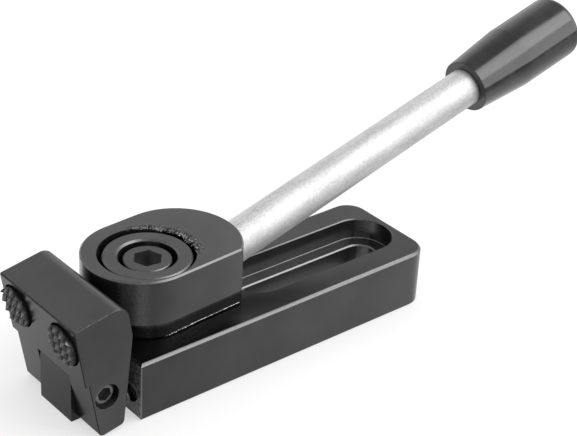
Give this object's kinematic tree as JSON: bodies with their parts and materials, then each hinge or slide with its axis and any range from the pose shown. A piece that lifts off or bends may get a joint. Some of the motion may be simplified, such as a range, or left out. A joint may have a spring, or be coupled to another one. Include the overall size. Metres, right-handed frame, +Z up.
{
  "type": "pull-down clamp",
  "caption": "Side-acting clamp with a cam lever: a tilting two-legged jaw with round toothed pads pulls a workpiece down, on a slotted base block.",
  "frame": {"origin": "bottom face of the base, mid-width, below the front face of the block from which the tongue stands out", "axes": "+X from the jaw towards the rear of the base and along the lever, +Y across towards the side the cam lobe is offset to, +Z up"},
  "size_m": [0.2794, 0.0515, 0.0953],
  "materials": {
    "blackened_steel": "black oxide, satin, with bright worn edges",
    "hardened_steel": "black oxide over ground teeth, satin",
    "bright_steel": "drawn, satin bright",
    "spring_steel": "oiled drawn wire",
    "black_plastic": "smooth gloss"
  },
  "bodies": {
    "base": {"base_body": "blackened_steel", "pivot_bush": "blackened_steel", "cam_screw": "blackened_steel", "return_spring_near": "spring_steel", "return_spring_far": "spring_steel"},
    "jaw": {"jaw": "blackened_steel", "grip_pad_near": "hardened_steel", "grip_pad_far": "hardened_steel", "pivot_pin": "bright_steel", "plug_screw_near": "blackened_steel", "plug_screw_far": "blackened_steel"},
    "lever": {"cam_head": "blackened_steel", "lever_rod": "bright_steel", "grip_insert": "bright_steel", "handle_grip": "black_plastic"}
  },
  "joints": [
    {"name": "cam_swing", "type": "hinge", "parent": "base", "child": "lever", "pos_m": [0.0194, 0, 0.024], "axis": [0, 0, 1], "range_deg": [-50, 50]},
    {"name": "jaw_tilt", "type": "hinge", "parent": "base", "child": "jaw", "pos_m": [-0.01451, 0, 0.0168], "axis": [0, -1, 0], "range_deg": [-7.5, 7.5], "deforming": ["return_spring_near", "return_spring_far"]}
  ],
  "couplings": [
    {"joint": "jaw_tilt", "follows": "cam_swing", "ratio": 0.15}
  ]
}
